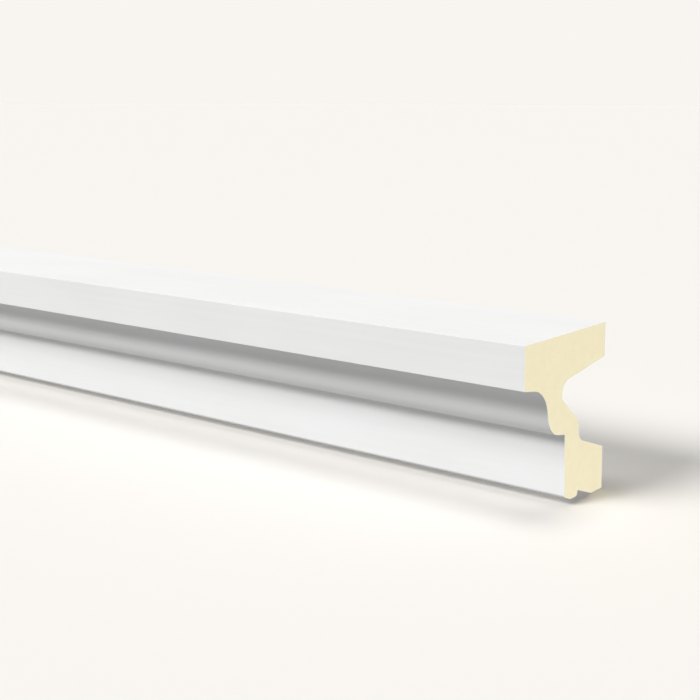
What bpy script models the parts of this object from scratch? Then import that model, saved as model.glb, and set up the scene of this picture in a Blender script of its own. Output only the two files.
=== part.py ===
"""Window sill moulding: one metre of a rigid polyurethane profile, sawn square at both ends.

Metres, +Z up. The moulding runs along X, its back faces +Y and its front -Y. The origin is on the plane of
its back, at mid-length and at the middle height of the slab's back.

The cross-section is drawn from its corners, each measured out from the back plane and down from the top back
arris, and each rounded by its own radius.
"""

import math
from typing import NamedTuple

import bmesh
import bpy
from mathutils import Vector

# Overall sizes: the back plane to the fascia's face, and the top back arris to the back pad's foot
LENGTH = 1.000
PROJECTION = 0.119
HEIGHT = 0.130

# Sill slab, at the top
FASCIA_HEIGHT = 0.0323
SLAB_BACK_HEIGHT = 0.0265
SLAB_BACK_DRAFT = math.radians(8.1)

# Cove and bead, under the slab's overhang. The slab's and the bead's undersides fall towards the back by the
# draft, and the face between cove and bead leans back by it.
FRONT_DRAFT = math.radians(9.0)
BEAD_DROP = 0.0427
BEAD_REACH = 0.0228
COVE_RADIUS = 0.0231
BEAD_RADIUS = 0.0196

# Frieze below the bead, and the drip lip that it ends in, bevelled at the front of its foot
FRIEZE_LEAN = math.radians(1.4)
LIP_THICKNESS = 0.0201
LIP_LIFT = 0.0036
LIP_BEVEL_RISE = 0.0039
LIP_BEVEL_SLOPE = math.radians(23.5)
LIP_BEVEL_RADIUS = 0.0040
LIP_FRONT_RADIUS = 0.0024
LIP_BACK_RADIUS = 0.0027

# Back pad, behind the frieze
PAD_DEPTH = 0.0389
PAD_HEIGHT = 0.0330
PAD_FLAT = 0.0167
PAD_DRAFT = math.radians(19.5)
PAD_NECK_RADIUS = 0.0097

# Recess between the slab's back and the back pad. The neck is measured out to the line of the bead's front.
NECK_THICKNESS = 0.0181
RECESS_FLAT = 0.0120
RECESS_HEAD_RADIUS = 0.0095
RECESS_FOOT_RADIUS = 0.0018
SHOULDER_SLOPE = math.radians(39.7)
SHOULDER_RADIUS = 0.0014

# Corners that look sharp, and how finely a round is drawn
ARRIS_RADIUS = 0.0003
ARC_CHORD = 0.0010
ROUNDED_SHARE_OF_SIDE = 0.98

PRIMER_COLOUR = (0.80, 0.80, 0.79, 1.0)
PRIMER_ROUGHNESS = 0.55
FOAM_COLOUR = (0.83, 0.74, 0.50, 1.0)
FOAM_ROUGHNESS = 0.90
WELD_DISTANCE = 0.00001
SHARP_ANGLE = math.radians(30.0)


class Corner(NamedTuple):
    """A corner of the cross-section: out from the back plane, down from the top, and its rounding."""

    out: float
    drop: float
    radius: float

    @property
    def place(self):
        return Vector((self.out, self.drop))


def profile_corners():
    """The corners from the top back arris over the front, under the lip and up the back."""
    draft = math.tan(FRONT_DRAFT)
    frieze_head = FASCIA_HEIGHT + BEAD_DROP
    lip_foot = HEIGHT - LIP_LIFT
    lip_front = PAD_DEPTH + LIP_THICKNESS
    frieze_front = lip_front + (lip_foot - frieze_head) * math.tan(FRIEZE_LEAN)
    bead_front = frieze_front + BEAD_REACH
    bead_foot = frieze_head - BEAD_REACH * draft
    # The cove's corner is where the slab's underside meets the face that rises from the bead's corner.
    cove_front = bead_front + (bead_foot - FASCIA_HEIGHT - PROJECTION * draft) * draft
    cove_front /= 1 - draft**2
    cove_head = FASCIA_HEIGHT + (PROJECTION - cove_front) * draft
    bevel_head = lip_foot - LIP_BEVEL_RISE
    bevel_front = lip_front + LIP_BEVEL_RISE * math.tan(FRIEZE_LEAN)
    bevel_foot = bevel_front - LIP_BEVEL_RISE / math.tan(LIP_BEVEL_SLOPE)

    recess_depth = bead_front - NECK_THICKNESS
    recess_head = SLAB_BACK_HEIGHT + recess_depth * math.tan(SLAB_BACK_DRAFT)
    recess_foot = recess_head + RECESS_FLAT
    shoulder = recess_foot + (recess_depth - PAD_DEPTH) * math.tan(SHOULDER_SLOPE)
    pad_head = HEIGHT - PAD_HEIGHT
    pad_neck = pad_head - PAD_DEPTH * math.tan(PAD_DRAFT)
    throat = HEIGHT - (PAD_DEPTH - PAD_FLAT) * math.tan(PAD_DRAFT)

    front = [
        Corner(0, 0, ARRIS_RADIUS),
        Corner(PROJECTION, 0, ARRIS_RADIUS),
        Corner(PROJECTION, FASCIA_HEIGHT, ARRIS_RADIUS),
        Corner(cove_front, cove_head, COVE_RADIUS),
        Corner(bead_front, bead_foot, BEAD_RADIUS),
        Corner(frieze_front, frieze_head, ARRIS_RADIUS),
        Corner(bevel_front, bevel_head, LIP_FRONT_RADIUS),
        Corner(bevel_foot, lip_foot, LIP_BEVEL_RADIUS),
    ]
    back = [
        Corner(PAD_DEPTH, lip_foot, LIP_BACK_RADIUS),
        Corner(PAD_DEPTH, throat, ARRIS_RADIUS),
        Corner(PAD_FLAT, HEIGHT, ARRIS_RADIUS),
        Corner(0, HEIGHT, ARRIS_RADIUS),
        Corner(0, pad_head, ARRIS_RADIUS),
        Corner(PAD_DEPTH, pad_neck, PAD_NECK_RADIUS),
        Corner(PAD_DEPTH, shoulder, SHOULDER_RADIUS),
        Corner(recess_depth, recess_foot, RECESS_FOOT_RADIUS),
        Corner(recess_depth, recess_head, RECESS_HEAD_RADIUS),
        Corner(0, SLAB_BACK_HEIGHT, ARRIS_RADIUS),
    ]
    return front + back


def corner_arc(before, corner, after):
    """Points along the arc that rounds a corner. Two corners share the side between them by their radii."""
    to_before = before.place - corner.place
    to_after = after.place - corner.place
    half_turn = (math.pi - to_before.angle(to_after)) / 2
    room_before = to_before.length * corner.radius / (corner.radius + before.radius)
    room_after = to_after.length * corner.radius / (corner.radius + after.radius)
    longest = ROUNDED_SHARE_OF_SIDE * min(room_before, room_after)
    reach = min(corner.radius * math.tan(half_turn), longest)
    radius = reach / math.tan(half_turn)
    to_before.normalize()
    to_after.normalize()
    centre = corner.place + (to_before + to_after).normalized() * (radius / math.cos(half_turn))
    first_spoke = corner.place + to_before * reach - centre
    last_spoke = corner.place + to_after * reach - centre
    steps = max(2, math.ceil(2 * half_turn * radius / ARC_CHORD))
    # A slerp between the two spokes has a length of one.
    return [centre + first_spoke.slerp(last_spoke, step / steps) * radius for step in range(steps + 1)]


def outline_points():
    """The whole rounded outline, each point as (out, drop)."""
    corners = profile_corners()
    befores = corners[-1:] + corners[:-1]
    afters = corners[1:] + corners[:1]
    points = []
    for before, corner, after in zip(befores, corners, afters):
        points += corner_arc(before, corner, after)
    return points


def profile_curve(collection):
    """The cross-section as a flat filled curve, stood up across the length and extruded along it."""
    points = outline_points()
    curve = bpy.data.curves.new("profile", "CURVE")
    curve.dimensions = "2D"
    curve.fill_mode = "BOTH"
    curve.extrude = LENGTH / 2
    spline = curve.splines.new("POLY")
    spline.points.add(len(points) - 1)
    for target, (out, drop) in zip(spline.points, points):
        target.co = (-out, SLAB_BACK_HEIGHT / 2 - drop, 0, 1)
    spline.use_cyclic_u = True
    obj = bpy.data.objects.new("profile", curve)
    # The curve's own X, Y and Z become Y, Z and X.
    obj.rotation_euler = (math.pi / 2, 0, math.pi / 2)
    collection.objects.link(obj)
    bpy.context.view_layer.update()
    return obj


def principled(name, colour, roughness):
    """A plain non-metallic material."""
    material = bpy.data.materials.new(name)
    material.use_nodes = True
    shader = material.node_tree.nodes["Principled BSDF"]
    shader.inputs["Base Color"].default_value = colour
    shader.inputs["Roughness"].default_value = roughness
    shader.inputs["Metallic"].default_value = 0.0
    return material


def sill_moulding(collection):
    """The moulding as one closed mesh: primer on its moulded faces and bare foam on its two sawn ends."""
    curve = profile_curve(collection)
    evaluated = curve.evaluated_get(bpy.context.evaluated_depsgraph_get())
    mesh = bpy.data.meshes.new_from_object(evaluated)
    mesh.name = "sill_moulding"
    mesh.materials.append(principled("white_primer", PRIMER_COLOUR, PRIMER_ROUGHNESS))
    mesh.materials.append(principled("bare_foam", FOAM_COLOUR, FOAM_ROUGHNESS))
    body = bmesh.new()
    body.from_mesh(mesh)
    bmesh.ops.remove_doubles(body, verts=body.verts, dist=WELD_DISTANCE)
    bmesh.ops.recalc_face_normals(body, faces=body.faces)
    for face in body.faces:
        # The mesh's own Z runs along the moulding, so the faces across it are the sawn ends.
        face.material_index = int(abs(face.normal.z) > 0.5)
    body.to_mesh(mesh)
    body.free()
    mesh.shade_smooth()
    mesh.set_sharp_from_angle(angle=SHARP_ANGLE)
    obj = bpy.data.objects.new("sill_moulding", mesh)
    obj.matrix_world = curve.matrix_world
    collection.objects.link(obj)
    bpy.data.objects.remove(curve)
    return obj


def main():
    for old in list(bpy.data.objects):
        bpy.data.objects.remove(old)
    collection = bpy.data.collections.new("window_sill_moulding")
    bpy.context.scene.collection.children.link(collection)
    sill_moulding(collection)


main()
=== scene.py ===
"""Looks of the window sill moulding: a white primed profile of rigid foam, sawn square at both ends.

Metres, +Z up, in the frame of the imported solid. The moulding runs along X, its back faces +Y and its front
-Y. The cross-section is measured out from the plane of its back and down from the top back arris.
"""

import logging
import math
from collections.abc import Callable, Sequence
from dataclasses import dataclass
from enum import Enum, IntEnum
from typing import TypeAlias

import bmesh
import bpy
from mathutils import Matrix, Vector


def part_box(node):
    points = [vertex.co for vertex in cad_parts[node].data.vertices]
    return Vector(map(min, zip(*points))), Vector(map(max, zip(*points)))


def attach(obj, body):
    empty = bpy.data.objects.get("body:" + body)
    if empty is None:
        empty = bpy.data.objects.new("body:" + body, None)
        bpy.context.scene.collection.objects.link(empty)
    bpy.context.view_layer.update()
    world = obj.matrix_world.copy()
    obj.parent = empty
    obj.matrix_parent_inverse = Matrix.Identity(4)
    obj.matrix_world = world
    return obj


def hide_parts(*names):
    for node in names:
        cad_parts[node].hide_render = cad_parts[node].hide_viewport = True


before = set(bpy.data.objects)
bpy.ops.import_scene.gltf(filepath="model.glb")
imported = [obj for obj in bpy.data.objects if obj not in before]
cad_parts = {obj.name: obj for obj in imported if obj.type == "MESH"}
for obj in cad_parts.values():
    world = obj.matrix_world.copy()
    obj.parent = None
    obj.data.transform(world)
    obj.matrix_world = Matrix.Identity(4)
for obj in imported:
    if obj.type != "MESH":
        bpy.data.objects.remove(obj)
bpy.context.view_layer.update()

LOG = logging.getLogger("window_sill_moulding")
CAD_NODE = "sill_moulding"
BODY = "root"

# The middle of a pattern that runs from 0 to 1, and the period of a Wave texture's bands at a scale of 1
MIDDLE = 0.5
BANDS_PERIOD = math.pi / 10

Colour: TypeAlias = tuple[float, float, float]
Rgba: TypeAlias = tuple[float, float, float, float]
Setting: TypeAlias = float | int | str | bool
Input: TypeAlias = "float | Colour | Rgba | Vector | bpy.types.NodeSocket | Value"


class Coat(IntEnum):
    """The material slots of the coated body."""

    SHOWN = 0
    BACK = 1
    FOAM = 2


class RecordSlot(Enum):
    """The finishes that the part's record names."""

    PRIMER = "white_primer"
    FOAM = "bare_foam"


class End(Enum):
    """The two sawn ends, each with the way that it faces along X."""

    LEFT = -1
    RIGHT = 1


class Value:
    """A number socket of a shader tree that takes part in Python arithmetic."""

    def __init__(self, tree: "ShaderTree", socket: bpy.types.NodeSocket) -> None:
        """Wraps a socket.

        Args:
            tree: The tree that the socket belongs to.
            socket: The output socket that carries the number.
        """
        self.tree = tree
        self.socket = socket

    def _maths(self, operation: str, first: Input, second: Input) -> "Value":
        """Adds one Math node.

        Args:
            operation: The node's operation.
            first: Its first number.
            second: Its second number.

        Returns:
            The result.
        """
        node = self.tree.node("ShaderNodeMath", {"operation": operation}, {0: first, 1: second})
        return Value(self.tree, node.outputs[0])

    def __add__(self, other: Input) -> "Value":
        """The sum with a number or another value."""
        return self._maths("ADD", self, other)

    def __radd__(self, other: Input) -> "Value":
        """The sum, with the number on the left."""
        return self._maths("ADD", other, self)

    def __sub__(self, other: Input) -> "Value":
        """The difference from a number or another value."""
        return self._maths("SUBTRACT", self, other)

    def __rsub__(self, other: Input) -> "Value":
        """The difference, with the number on the left."""
        return self._maths("SUBTRACT", other, self)

    def __mul__(self, other: Input) -> "Value":
        """The product with a number or another value."""
        return self._maths("MULTIPLY", self, other)

    def __rmul__(self, other: Input) -> "Value":
        """The product, with the number on the left."""
        return self._maths("MULTIPLY", other, self)


class ShaderTree:
    """The node tree of a material or of the air, empty at the start."""

    def __init__(self, owner: bpy.types.Material | bpy.types.World) -> None:
        """Clears the tree.

        Args:
            owner: The material or world that it belongs to.
        """
        owner.use_nodes = True
        self.links = owner.node_tree.links
        self.nodes = owner.node_tree.nodes
        self.nodes.clear()

    def node(
        self, kind: str, settings: dict[str, Setting], sockets: dict[str | int, Input]
    ) -> bpy.types.Node:
        """Adds a node.

        Args:
            kind: The node's type.
            settings: Its properties, which are set before its sockets.
            sockets: A number, a colour, a vector or a link for each input, by name or number.

        Returns:
            The new node.
        """
        made = self.nodes.new(kind)
        for name, setting in settings.items():
            setattr(made, name, setting)
        for name, given in sockets.items():
            self.feed(made, name, given)
        return made

    def feed(self, node: bpy.types.Node, name: str | int, given: Input) -> None:
        """Sets one input of a node or links it.

        Args:
            node: The node.
            name: The input's name, or its number.
            given: What it gets.
        """
        if isinstance(name, int):
            socket = node.inputs[name]
        else:
            socket = next(each for each in node.inputs if each.name == name and each.enabled)
        if isinstance(given, Value):
            given = given.socket
        if isinstance(given, bpy.types.NodeSocket):
            self.links.new(given, socket)
        else:
            socket.default_value = given

    def ramp(self, value: Input, start: float, end: float, low: float = 0.0, high: float = 1.0) -> Value:
        """A smooth step.

        Args:
            value: What it follows.
            start: Where it leaves its low value.
            end: Where it reaches its high value.
            low: The low value.
            high: The high value.

        Returns:
            The step.
        """
        step = self.node(
            "ShaderNodeMapRange",
            {"interpolation_type": "SMOOTHSTEP"},
            {"Value": value, "From Min": start, "From Max": end, "To Min": low, "To Max": high},
        )
        return Value(self, step.outputs[0])


class SurfaceTree(ShaderTree):
    """The node tree of a material, with its shader and the patterns that the finishes share."""

    def __init__(self, name: str) -> None:
        """Starts a material with only its Principled shader.

        Args:
            name: The material's name.
        """
        self.material = bpy.data.materials.new(name)
        super().__init__(self.material)
        self.shader = self.node("ShaderNodeBsdfPrincipled", {}, {})
        self.node("ShaderNodeOutputMaterial", {}, {"Surface": self.shader.outputs[0]})
        self.place = self.node("ShaderNodeTexCoord", {}, {}).outputs["Object"]

    def noise(self, size: float, detail: float = 2.0, stretch: float = 1.0) -> Value:
        """Soft cloudy noise from 0 to 1.

        Args:
            size: The width of its blots, in metres.
            detail: How many finer layers it has.
            stretch: How many times longer the blots are along the moulding.

        Returns:
            The noise.
        """
        pulled = self.node(
            "ShaderNodeMapping",
            {"vector_type": "POINT"},
            {"Vector": self.place, "Scale": (1 / stretch, 1, 1)},
        )
        cloud = self.node(
            "ShaderNodeTexNoise", {}, {"Vector": pulled.outputs[0], "Scale": 1 / size, "Detail": detail}
        )
        return Value(self, cloud.outputs["Fac"])

    def cells(self, size: float) -> Value:
        """The distance to the middle of the nearest of many small round cells.

        Args:
            size: The width of a cell, in metres.

        Returns:
            The distance, from 0 in a cell's middle to about 1 at its edge.
        """
        cell = self.node("ShaderNodeTexVoronoi", {}, {"Vector": self.place, "Scale": 1 / size})
        return Value(self, cell.outputs["Distance"])

    def blend(self, share: Value, first: Input, second: Input) -> bpy.types.NodeSocket:
        """Mixes two colours.

        Args:
            share: How much of the second colour there is, from 0 to 1.
            first: The first colour.
            second: The second colour.

        Returns:
            The mixed colour.
        """
        mixed = self.node(
            "ShaderNodeMix", {"data_type": "RGBA"}, {"Factor": share, "A": first, "B": second}
        )
        return next(each for each in mixed.outputs if each.enabled)

    def relief(
        self, height: Value, depth: float, under: bpy.types.NodeSocket | None = None
    ) -> bpy.types.NodeSocket:
        """A bump.

        Args:
            height: The relief, from 0 to 1.
            depth: How far it rises, in metres.
            under: The normal of the relief that it lies on, if any.

        Returns:
            The bumped normal.
        """
        bump = self.node("ShaderNodeBump", {}, {"Height": height, "Distance": depth})
        if under is not None:
            self.feed(bump, "Normal", under)
        return bump.outputs[0]


def opaque(colour: Colour) -> Rgba:
    """The colour with full opacity, as sockets take it."""
    return (*colour, 1.0)


@dataclass(frozen=True)
class PrimerCoat:
    """Factory white primer on the moulded faces that show: even, matt, with a trace of orange peel."""

    name: str = "white_primer"
    colour: Colour = (0.830, 0.832, 0.828)
    duller_colour: Colour = (0.808, 0.808, 0.802)
    duller_start: float = 0.35
    duller_end: float = 0.65
    cloud_size: float = 0.060
    cloud_detail: float = 3.0
    cloud_stretch: float = 2.5
    cloud_share: float = 0.7
    drag_size: float = 0.004
    drag_detail: float = 1.0
    drag_stretch: float = 40.0
    drag_share: float = 0.3
    peel_size: float = 0.0016
    peel_detail: float = 1.0
    peel_depth: float = 0.000016
    grain_size: float = 0.00035
    grain_depth: float = 0.000005
    roughness: float = 0.60
    roughness_spread: float = 0.12
    gloss: float = 0.12

    def material(self) -> bpy.types.Material:
        """Builds the material.

        Returns:
            The primer, with its dull clouds, its drag, its peel and its grain.
        """
        tree = SurfaceTree(self.name)
        clouds = tree.noise(self.cloud_size, self.cloud_detail, self.cloud_stretch)
        drag = tree.noise(self.drag_size, self.drag_detail, self.drag_stretch)
        mixture = clouds * self.cloud_share + drag * self.drag_share
        dullness = tree.ramp(mixture, self.duller_start, self.duller_end)
        colour = tree.blend(dullness, opaque(self.colour), opaque(self.duller_colour))
        tree.feed(tree.shader, "Base Color", colour)
        tree.feed(tree.shader, "Roughness", self.roughness + (clouds - MIDDLE) * self.roughness_spread)
        tree.feed(tree.shader, "Specular IOR Level", self.gloss)
        peel = tree.relief(tree.noise(self.peel_size, self.peel_detail), self.peel_depth)
        grain = tree.relief(tree.noise(self.grain_size), self.grain_depth, peel)
        tree.feed(tree.shader, "Normal", grain)
        return tree.material


@dataclass(frozen=True)
class BackCoat:
    """The same primer on the hidden back, where it lies thinner and lets the foam tint it."""

    name: str = "thin_primer"
    colour: Colour = (0.800, 0.795, 0.775)
    foam_tint: Colour = (0.800, 0.782, 0.725)
    patch_size: float = 0.045
    patch_detail: float = 4.0
    patch_stretch: float = 1.8
    patch_start: float = 0.42
    patch_end: float = 0.72
    peel_size: float = 0.0022
    peel_detail: float = 2.0
    peel_depth: float = 0.000014
    roughness: float = 0.66
    patch_roughness: float = 0.14
    gloss: float = 0.10

    def material(self) -> bpy.types.Material:
        """Builds the material.

        Returns:
            The thin primer, with patches where the foam tints it.
        """
        tree = SurfaceTree(self.name)
        clouds = tree.noise(self.patch_size, self.patch_detail, self.patch_stretch)
        patches = tree.ramp(clouds, self.patch_start, self.patch_end)
        colour = tree.blend(patches, opaque(self.colour), opaque(self.foam_tint))
        tree.feed(tree.shader, "Base Color", colour)
        tree.feed(tree.shader, "Roughness", self.roughness + patches * self.patch_roughness)
        tree.feed(tree.shader, "Specular IOR Level", self.gloss)
        peel = tree.noise(self.peel_size, self.peel_detail)
        tree.feed(tree.shader, "Normal", tree.relief(peel, self.peel_depth))
        return tree.material


@dataclass(frozen=True)
class SawnFoam:
    """Rigid cream foam where the saw went through: fine cut cells, a few open pits, faint saw lines."""

    name: str = "bare_foam"
    colour: Colour = (0.850, 0.775, 0.540)
    # Darker tone for the random mottle, and painted shade along the cells' low edges
    mottle_and_cell_shade_colour: Colour = (0.815, 0.732, 0.490)
    shade_start: float = 0.30
    shade_end: float = 0.85
    mottle_size: float = 0.007
    mottle_detail: float = 4.0
    mottle_share: float = 0.6
    cell_size: float = 0.00055
    cell_share: float = 0.4
    cell_depth: float = 0.00007
    # Painted shade inside the open pits, which the bump also sinks
    pit_shade_colour: Colour = (0.680, 0.595, 0.380)
    pit_spacing: float = 0.0042
    pit_radius: float = 0.00046
    # The share of its radius over which a pit has its full depth
    pit_core: float = 0.3
    pit_depth: float = 0.00020
    saw_pitch: float = 0.0022
    saw_wander: float = 1.5
    saw_detail: float = 1.0
    saw_depth: float = 0.00003
    roughness: float = 0.88
    roughness_spread: float = 0.10
    gloss: float = 0.20

    def material(self) -> bpy.types.Material:
        """Builds the material.

        Returns:
            The foam, with its mottle, its pits, its saw lines and its cells, and painted shade in the pits
            and along the cells' low edges.
        """
        tree = SurfaceTree(self.name)
        cells = tree.cells(self.cell_size)
        mottle = tree.noise(self.mottle_size, self.mottle_detail)
        # Random mottle tone, plus painted shade that darkens towards the cells' edges, where their bump is
        # lowest
        mixture = mottle * self.mottle_share + cells * self.cell_share
        shade = tree.ramp(mixture, self.shade_start, self.shade_end)
        sawn = tree.blend(shade, opaque(self.colour), opaque(self.mottle_and_cell_shade_colour))
        rim = self.pit_radius / self.pit_spacing
        ragged = tree.cells(self.pit_spacing) + (tree.noise(self.cell_size) - MIDDLE) * rim
        pits = tree.ramp(ragged, rim * self.pit_core, rim, low=1.0, high=0.0)
        # The pits get a darker colour: painted shade in the hollows
        tree.feed(tree.shader, "Base Color", tree.blend(pits, sawn, opaque(self.pit_shade_colour)))
        tree.feed(tree.shader, "Roughness", self.roughness + (cells - MIDDLE) * self.roughness_spread)
        tree.feed(tree.shader, "Specular IOR Level", self.gloss)
        saw = tree.node(
            "ShaderNodeTexWave",
            {"wave_type": "BANDS", "bands_direction": "Y"},
            {
                "Vector": tree.place,
                "Scale": BANDS_PERIOD / self.saw_pitch,
                "Distortion": self.saw_wander,
                "Detail": self.saw_detail,
            },
        )
        lines = tree.relief(Value(tree, saw.outputs["Fac"]), self.saw_depth)
        pitted = tree.relief(1 - pits, self.pit_depth, lines)
        tree.feed(tree.shader, "Normal", tree.relief(1 - cells, self.cell_depth, pitted))
        return tree.material


@dataclass(frozen=True)
class FloorPaint:
    """The plain pale studio floor."""

    name: str = "studio_floor"
    colour: Colour = (0.848, 0.824, 0.787)
    roughness: float = 1.0
    gloss: float = 0.0

    def material(self) -> bpy.types.Material:
        """Builds the material.

        Returns:
            The paint, the same all over.
        """
        tree = SurfaceTree(self.name)
        tree.feed(tree.shader, "Base Color", opaque(self.colour))
        tree.feed(tree.shader, "Roughness", self.roughness)
        tree.feed(tree.shader, "Specular IOR Level", self.gloss)
        return tree.material


@dataclass(frozen=True)
class Corner:
    """A corner of the cross-section: out from the back, down from the top, and its rounding."""

    out: float
    drop: float
    radius: float

    @property
    def place(self) -> Vector:
        """The corner as a point of the section."""
        return Vector((self.out, self.drop))


@dataclass(frozen=True)
class Turn:
    """The arc that rounds a corner: its two ends, its centre and how far it turns."""

    start: Vector
    end: Vector
    centre: Vector
    radius: float
    angle: float


@dataclass(frozen=True)
class Section:
    """The cross-section, from the same sizes as the solid."""

    projection: float
    height: float
    fascia_height: float = 0.0323
    slab_back_height: float = 0.0265
    slab_back_draft: float = math.radians(8.1)
    front_draft: float = math.radians(9.0)
    bead_drop: float = 0.0427
    bead_reach: float = 0.0228
    cove_radius: float = 0.0231
    bead_radius: float = 0.0196
    frieze_lean: float = math.radians(1.4)
    lip_thickness: float = 0.0201
    lip_lift: float = 0.0036
    lip_bevel_rise: float = 0.0039
    lip_bevel_slope: float = math.radians(23.5)
    lip_bevel_radius: float = 0.0040
    lip_front_radius: float = 0.0024
    lip_back_radius: float = 0.0027
    pad_depth: float = 0.0389
    pad_height: float = 0.0330
    pad_flat: float = 0.0167
    pad_draft: float = math.radians(19.5)
    pad_neck_radius: float = 0.0097
    neck_thickness: float = 0.0181
    recess_flat: float = 0.0120
    recess_head_radius: float = 0.0095
    recess_foot_radius: float = 0.0018
    shoulder_slope: float = math.radians(39.7)
    shoulder_radius: float = 0.0014
    arris_radius: float = 0.0003

    def corners(self) -> list[Corner]:
        """The corners from the top back arris over the front, under the lip and up the back."""
        return self.front_corners() + self.back_corners()

    @property
    def frieze_head(self) -> float:
        """How far down the inner corner under the bead is."""
        return self.fascia_height + self.bead_drop

    @property
    def lip_foot(self) -> float:
        """How far down the drip lip's foot is."""
        return self.height - self.lip_lift

    def frieze_out(self, drop: float) -> float:
        """How far out the frieze's leaning face stands at a drop."""
        fall = self.lip_foot - drop
        return self.pad_depth + self.lip_thickness + fall * math.tan(self.frieze_lean)

    @property
    def bead_front(self) -> float:
        """How far out the bead's corner stands."""
        return self.frieze_out(self.frieze_head) + self.bead_reach

    def front_corners(self) -> list[Corner]:
        """The corners that show from the front.

        Returns:
            The corners from the top back arris to the front of the drip lip's foot.
        """
        draft = math.tan(self.front_draft)
        bead_foot = self.frieze_head - self.bead_reach * draft
        rise = bead_foot - self.fascia_height - self.projection * draft
        cove_front = (self.bead_front + rise * draft) / (1 - draft**2)
        cove_head = self.fascia_height + (self.projection - cove_front) * draft
        bevel_head = self.lip_foot - self.lip_bevel_rise
        bevel_foot = self.frieze_out(bevel_head) - self.lip_bevel_rise / math.tan(self.lip_bevel_slope)
        return [
            Corner(0, 0, self.arris_radius),
            Corner(self.projection, 0, self.arris_radius),
            Corner(self.projection, self.fascia_height, self.arris_radius),
            Corner(cove_front, cove_head, self.cove_radius),
            Corner(self.bead_front, bead_foot, self.bead_radius),
            Corner(self.frieze_out(self.frieze_head), self.frieze_head, self.arris_radius),
            Corner(self.frieze_out(bevel_head), bevel_head, self.lip_front_radius),
            Corner(bevel_foot, self.lip_foot, self.lip_bevel_radius),
        ]

    def back_corners(self) -> list[Corner]:
        """The corners of the hidden side.

        Returns:
            The corners from the drip lip's back up to the slab's back.
        """
        recess_depth = self.bead_front - self.neck_thickness
        recess_head = self.slab_back_height + recess_depth * math.tan(self.slab_back_draft)
        recess_foot = recess_head + self.recess_flat
        shoulder = recess_foot + (recess_depth - self.pad_depth) * math.tan(self.shoulder_slope)
        pad_head = self.height - self.pad_height
        pad_neck = pad_head - self.pad_depth * math.tan(self.pad_draft)
        throat = self.height - (self.pad_depth - self.pad_flat) * math.tan(self.pad_draft)
        return [
            Corner(self.pad_depth, self.lip_foot, self.lip_back_radius),
            Corner(self.pad_depth, throat, self.arris_radius),
            Corner(self.pad_flat, self.height, self.arris_radius),
            Corner(0, self.height, self.arris_radius),
            Corner(0, pad_head, self.arris_radius),
            Corner(self.pad_depth, pad_neck, self.pad_neck_radius),
            Corner(self.pad_depth, shoulder, self.shoulder_radius),
            Corner(recess_depth, recess_foot, self.recess_foot_radius),
            Corner(recess_depth, recess_head, self.recess_head_radius),
            Corner(0, self.slab_back_height, self.arris_radius),
        ]

    def turns(self) -> list[Turn]:
        """The arc at every corner.

        Returns:
            The arcs, in the order of the corners.
        """
        corners = self.corners()
        befores = corners[-1:] + corners[:-1]
        afters = corners[1:] + corners[:1]
        return [self.turn(*three) for three in zip(befores, corners, afters)]

    @staticmethod
    def turn(before: Corner, corner: Corner, after: Corner) -> Turn:
        """The arc that rounds one corner.

        Args:
            before: The corner before it.
            corner: The corner.
            after: The corner after it.

        Returns:
            The arc, tangent to both sides.
        """
        to_before = (before.place - corner.place).normalized()
        to_after = (after.place - corner.place).normalized()
        angle = math.pi - to_before.angle(to_after)
        reach = corner.radius * math.tan(angle / 2)
        towards_centre = (to_before + to_after).normalized()
        return Turn(
            start=corner.place + to_before * reach,
            end=corner.place + to_after * reach,
            centre=corner.place + towards_centre * corner.radius / math.cos(angle / 2),
            radius=corner.radius,
            angle=angle,
        )


def clear_selection() -> None:
    """Leaves no object selected, in object mode."""
    if bpy.context.mode != "OBJECT":
        bpy.ops.object.mode_set(mode="OBJECT")
    bpy.ops.object.select_all(action="DESELECT")


def pick_faces(test: Callable[[bmesh.types.BMFace], bool]) -> None:
    """Selects faces of the mesh in edit mode, and nothing else.

    Args:
        test: True for a face to select.
    """
    bpy.ops.mesh.select_mode(type="FACE")
    bpy.ops.mesh.select_all(action="DESELECT")
    mesh = bpy.context.edit_object.data
    edited = bmesh.from_edit_mesh(mesh)
    for face in edited.faces:
        if test(face):
            face.select_set(True)
    bmesh.update_edit_mesh(mesh)


def settle(piece: bpy.types.Object, smooth_angle: float) -> None:
    """Finishes a piece: its place goes into its mesh, its rounds are shaded smooth and its flats even.

    Args:
        piece: The piece.
        smooth_angle: Edges sharper than this stay sharp.
    """
    clear_selection()
    piece.select_set(True)
    bpy.context.view_layer.objects.active = piece
    bpy.ops.object.transform_apply(location=True, rotation=True, scale=True)
    bpy.ops.object.shade_smooth_by_angle(angle=smooth_angle)
    evening = piece.modifiers.new("even_flats", "WEIGHTED_NORMAL")
    evening.keep_sharp = True
    bpy.ops.object.modifier_apply(modifier=evening.name)


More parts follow.
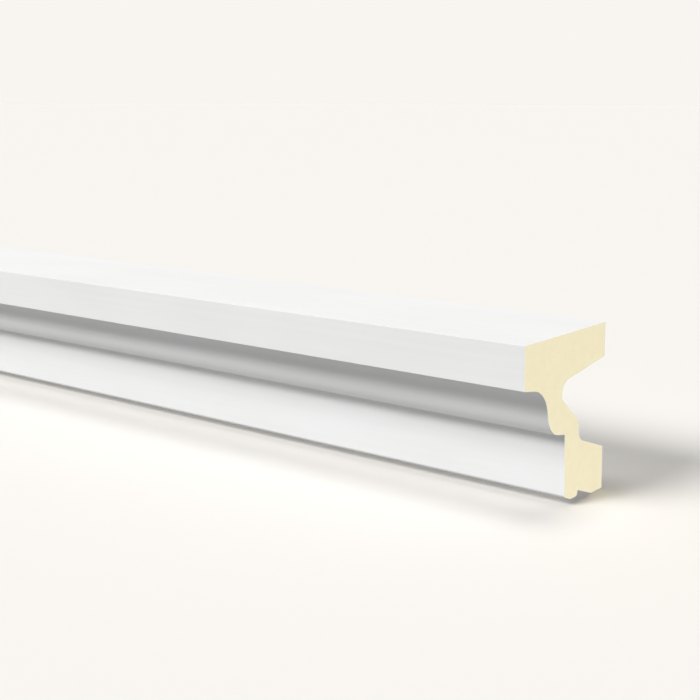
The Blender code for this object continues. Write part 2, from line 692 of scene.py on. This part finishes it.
class OutlinePen:
    """Draws an outline across the moulding with one vertex: straight by extruding, round by spinning."""

    def __init__(self, name: str, along: float, top: float, chord: float, fewest_steps: int) -> None:
        """Sets the pen up.

        Args:
            name: The name of the object that it draws.
            along: The X of the plane that it draws on.
            top: The Z of the section's top.
            chord: About how long a side of an arc is.
            fewest_steps: The least number of sides on an arc.
        """
        self.name = name
        self.along = along
        self.top = top
        self.chord = chord
        self.fewest_steps = fewest_steps
        self.at = Vector((0, 0, 0))

    def world(self, point: Vector) -> Vector:
        """The place in space of a point of the section."""
        return Vector((self.along, -point.x, self.top - point.y))

    def put_down(self, start: Vector) -> bpy.types.Object:
        """Starts the outline.

        Args:
            start: Its first point on the section.

        Returns:
            The object, in edit mode, with one vertex.
        """
        clear_selection()
        bpy.ops.mesh.primitive_plane_add(size=self.chord, location=self.world(start))
        piece = bpy.context.active_object
        piece.name = self.name
        piece.data.name = self.name
        bpy.ops.object.transform_apply(location=True, rotation=True, scale=True)
        bpy.ops.object.mode_set(mode="EDIT")
        bpy.ops.mesh.select_all(action="SELECT")
        bpy.ops.mesh.merge(type="CENTER")
        self.at = self.world(start)
        return piece

    def straight_to(self, point: Vector) -> None:
        """Draws a straight side.

        Args:
            point: Its end on the section.
        """
        target = self.world(point)
        bpy.ops.mesh.extrude_region_move(TRANSFORM_OT_translate={"value": target - self.at})
        self.at = target

    def round(self, turn: Turn) -> None:
        """Draws an arc.

        Args:
            turn: The turn that it follows, which starts where the pen is.
        """
        centre = self.world(turn.centre)
        end = self.world(turn.end)
        clockwise = (self.at - centre).cross(end - centre).x < 0
        steps = max(self.fewest_steps, math.ceil(turn.radius * turn.angle / self.chord))
        bpy.ops.mesh.spin(
            steps=steps, angle=turn.angle if clockwise else -turn.angle, center=centre, axis=(1, 0, 0)
        )
        self.at = end

    def close(self, weld: float) -> None:
        """Closes the outline and fills it.

        Args:
            weld: Points closer than this become one.
        """
        bpy.ops.mesh.select_all(action="SELECT")
        bpy.ops.mesh.remove_doubles(threshold=weld)
        bpy.ops.mesh.edge_face_add()

    def draw(self, turns: Sequence[Turn], weld: float) -> bpy.types.Object:
        """Draws a whole outline.

        Args:
            turns: Its corners' arcs, in order.
            weld: Points closer than this become one.

        Returns:
            The object, in edit mode, with the filled outline.
        """
        piece = self.put_down(turns[0].start)
        for turn, following in zip(turns, [*turns[1:], turns[0]]):
            self.round(turn)
            self.straight_to(following.start)
        self.close(weld)
        return piece


@dataclass
class SillMoulding:
    """The moulding: the coated body, and the foam that the saw laid bare, in a pocket at each end."""

    low: Vector
    high: Vector
    coat_thickness: float = 0.00020
    pocket_depth: float = 0.0020
    foam_sink: float = 0.00008
    chord: float = 0.0006
    fewest_steps: int = 5
    weld: float = 0.000002
    smooth_angle: float = math.radians(28.0)
    # The least part of a face's normal along X that makes it an end face, and along Y a back face
    end_normal: float = 0.9
    back_normal: float = 0.05

    @property
    def section(self) -> Section:
        """The cross-section, as deep and as high as the solid."""
        return Section(projection=self.high.y - self.low.y, height=self.high.z - self.low.z)

    def build(self) -> list[bpy.types.Object]:
        """Builds and dresses every piece of the moulding.

        Returns:
            The coated body and the two sawn ends.
        """
        body = self.sweep()
        self.sink_pockets()
        ends = [self.lift_foam(body, end) for end in End]
        settle(body, self.smooth_angle)
        self.coat(body)
        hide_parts(CAD_NODE)
        foam = SawnFoam().material()
        for piece in ends:
            settle(piece, self.smooth_angle)
            piece.data.materials.clear()
            piece.data.materials.append(foam)
        return [body, *ends]

    def sweep(self) -> bpy.types.Object:
        """Draws the section at the left end and extrudes it to the right end.

        Returns:
            The body, in edit mode.
        """
        pen = OutlinePen("coated_body", self.low.x, self.high.z, self.chord, self.fewest_steps)
        body = pen.draw(self.section.turns(), self.weld)
        run = Vector((self.high.x - self.low.x, 0, 0))
        bpy.ops.mesh.extrude_region_move(TRANSFORM_OT_translate={"value": run})
        bpy.ops.mesh.select_all(action="SELECT")
        bpy.ops.mesh.normals_make_consistent(inside=False)
        return body

    def is_end(self, face: bmesh.types.BMFace, end: End) -> bool:
        """Whether a face is square to the length and faces out of an end."""
        return face.normal.x * end.value > self.end_normal

    def sink_pockets(self) -> None:
        """Leaves the coat's thickness as a rim round each end, and sinks the foam's place inside it."""
        for end in End:
            pick_faces(lambda face, end=end: self.is_end(face, end))
            bpy.ops.mesh.inset(thickness=self.coat_thickness, use_even_offset=True)
            sink = Vector((-end.value * self.pocket_depth, 0, 0))
            bpy.ops.mesh.extrude_region_move(TRANSFORM_OT_translate={"value": sink})

    def pocket_floor(self, face: bmesh.types.BMFace, end: End) -> bool:
        """Whether a face is the floor of an end's pocket.

        Args:
            face: The face.
            end: Which end.

        Returns:
            True where it faces out of that end, about as deep as the pocket.
        """
        mouth = self.high.x if end is End.RIGHT else self.low.x
        depth = abs(face.calc_center_median().x - mouth)
        return self.is_end(face, end) and self.pocket_depth / 2 < depth < self.pocket_depth * 2

    def lift_foam(self, body: bpy.types.Object, end: End) -> bpy.types.Object:
        """Makes the foam that shows in an end's pocket, up to just under the coat's rim.

        Args:
            body: The body, in edit mode, with its pockets.
            end: Which end.

        Returns:
            The foam, as an object of its own.
        """
        pick_faces(lambda face: self.pocket_floor(face, end))
        bpy.ops.mesh.duplicate()
        bpy.ops.mesh.separate(type="SELECTED")
        bpy.ops.object.mode_set(mode="OBJECT")
        foam = next(each for each in bpy.context.selected_objects if each is not body)
        foam.name = f"sawn_foam_{end.name.lower()}"
        foam.data.name = foam.name
        clear_selection()
        foam.select_set(True)
        bpy.context.view_layer.objects.active = foam
        bpy.ops.object.mode_set(mode="EDIT")
        bpy.ops.mesh.select_all(action="SELECT")
        rise = Vector((end.value * (self.pocket_depth - self.foam_sink), 0, 0))
        bpy.ops.mesh.extrude_region_move(TRANSFORM_OT_translate={"value": rise})
        bpy.ops.mesh.select_all(action="SELECT")
        bpy.ops.mesh.normals_make_consistent(inside=False)
        clear_selection()
        body.select_set(True)
        bpy.context.view_layer.objects.active = body
        bpy.ops.object.mode_set(mode="EDIT")
        return foam

    def coat(self, body: bpy.types.Object) -> None:
        """Coats the body: primer where it shows, a thinner one on its back, and foam in its pockets.

        Args:
            body: The body, settled.
        """
        body.data.materials.clear()
        for finish in (PrimerCoat(), BackCoat(), SawnFoam(name="hidden_foam")):
            body.data.materials.append(finish.material())
        rim_start = self.high.x - self.pocket_depth / 2
        for face in body.data.polygons:
            if abs(face.normal.x) > self.end_normal and abs(face.center.x) < rim_start:
                face.material_index = Coat.FOAM
            elif face.normal.y > self.back_normal:
                face.material_index = Coat.BACK
            else:
                face.material_index = Coat.SHOWN


@dataclass(frozen=True)
class FarLamp:
    """A soft studio lamp, far away: where its light travels to, how strong and how broad it is."""

    name: str
    travel: tuple[float, float, float]
    strength: float
    breadth: float

    def light(self) -> None:
        """Adds the lamp to the scene."""
        clear_selection()
        bpy.ops.object.light_add(type="SUN")
        lamp = bpy.context.active_object
        lamp.name = self.name
        lamp.rotation_euler = Vector(self.travel).to_track_quat("-Z", "Y").to_euler()
        lamp.data.energy = self.strength
        lamp.data.angle = self.breadth


@dataclass(frozen=True)
class Reflector:
    """A long low reflector in front. It lights the frieze from below and misses the fascia."""

    name: str = "low_reflector"
    out: float = 0.20
    level: float = -0.32
    aim_out: float = 0.06
    aim_level: float = -0.09
    length: float = 3.0
    width: float = 0.06
    power: float = 1.61

    def light(self) -> None:
        """Adds the reflector to the scene."""
        clear_selection()
        turn = math.atan2(self.out - self.aim_out, self.level - self.aim_level)
        bpy.ops.object.light_add(type="AREA", location=(0, -self.out, self.level), rotation=(turn, 0, 0))
        lamp = bpy.context.active_object
        lamp.name = self.name
        lamp.data.shape = "RECTANGLE"
        lamp.data.size = self.length
        lamp.data.size_y = self.width
        lamp.data.energy = self.power
        lamp.visible_camera = False


@dataclass
class Studio:
    """The floor, the light and the camera."""

    floor_gap: float = 0.0005
    floor_size: float = 60.0
    backdrop: Colour = (0.939, 0.913, 0.871)
    # The air glows from above, less from below, and more from a band round the horizon. The reaches are
    # heights of a direction, which is 1 straight up.
    sky_glow: float = 0.20
    ground_glow: float = 0.10
    horizon_reach: float = 0.3
    band_glow: float = 0.20
    band_reach: float = 0.2
    eye: tuple[float, float, float] = (0.9337, -0.8565, 0.1854)
    tilt: float = math.radians(83.118)
    heading: float = math.radians(38.528)
    lens: float = 64.56
    rise: float = -0.150
    nearest: float = 0.01
    # The key comes from the upper left of the front, as the shading shows.
    lamps: tuple[FarLamp | Reflector, ...] = (
        FarLamp("key", travel=(0.377, 1.0, -0.80), strength=2.94, breadth=math.radians(23.0)),
        FarLamp("top", travel=(0.10, 0.10, -1.0), strength=1.10, breadth=math.radians(24.0)),
        FarLamp("end_fill", travel=(-1.0, -0.18, 0.0), strength=2.58, breadth=math.radians(20.0)),
        FarLamp("back_fill", travel=(0.10, -1.0, 0.28), strength=1.60, breadth=math.radians(30.0)),
        FarLamp("left_fill", travel=(1.0, 0.05, 0.0), strength=1.00, breadth=math.radians(20.0)),
        Reflector(),
    )

    def build(self, lowest: float) -> None:
        """Builds the studio.

        Args:
            lowest: The Z of the object's lowest point.
        """
        self.lay_floor(lowest - self.floor_gap)
        self.light_air()
        for lamp in self.lamps:
            lamp.light()
        self.stand_camera()

    def lay_floor(self, level: float) -> None:
        """Lays the floor, which catches shadows but neither throws light back nor blocks any.

        Args:
            level: The Z of the floor.
        """
        clear_selection()
        bpy.ops.mesh.primitive_plane_add(size=self.floor_size, location=(0, 0, level))
        floor = bpy.context.active_object
        floor.name = "studio_floor"
        floor.data.materials.append(FloorPaint().material())
        floor.visible_diffuse = False
        floor.visible_glossy = False
        floor.visible_shadow = False

    def light_air(self) -> None:
        """Sets the pale backdrop that shows and is reflected, and the soft air that lights the object."""
        world = bpy.data.worlds.new("studio_air")
        bpy.context.scene.world = world
        tree = ShaderTree(world)
        direction = tree.node("ShaderNodeTexCoord", {}, {}).outputs["Generated"]
        height = Value(tree, tree.node("ShaderNodeSeparateXYZ", {}, {0: direction}).outputs["Z"])
        reach = self.horizon_reach
        glow = tree.ramp(height, -reach, reach, self.ground_glow, self.sky_glow)
        band = tree.ramp(height * height, 0.0, self.band_reach**2, self.band_glow, 0.0)
        air = tree.node("ShaderNodeBackground", {}, {"Strength": glow + band})
        seen = tree.node("ShaderNodeBackground", {}, {"Color": opaque(self.backdrop)})
        ray = tree.node("ShaderNodeLightPath", {}, {})
        shown = Value(tree, ray.outputs["Is Camera Ray"]) + ray.outputs["Is Glossy Ray"]
        either = tree.node("ShaderNodeMixShader", {}, {0: shown, 1: air.outputs[0], 2: seen.outputs[0]})
        tree.node("ShaderNodeOutputWorld", {}, {"Surface": either.outputs[0]})

    def stand_camera(self) -> None:
        """Stands the camera where the photograph was taken from."""
        clear_selection()
        bpy.ops.object.camera_add(location=self.eye, rotation=(self.tilt, 0, self.heading))
        camera = bpy.context.active_object
        camera.name = "camera"
        camera.data.lens = self.lens
        camera.data.shift_y = self.rise
        camera.data.clip_start = self.nearest
        bpy.context.scene.camera = camera
        bpy.context.scene.view_settings.view_transform = "Standard"


def main() -> None:
    """Builds the moulding and the studio, and reports each piece."""
    logging.basicConfig(level=logging.INFO, format="%(name)s: %(message)s")
    low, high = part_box(CAD_NODE)
    for piece in SillMoulding(low, high).build():
        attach(piece, BODY)
        LOG.info("%s has %d faces", piece.name, len(piece.data.polygons))
    Studio().build(low.z)


if __name__ == "__main__":
    main()
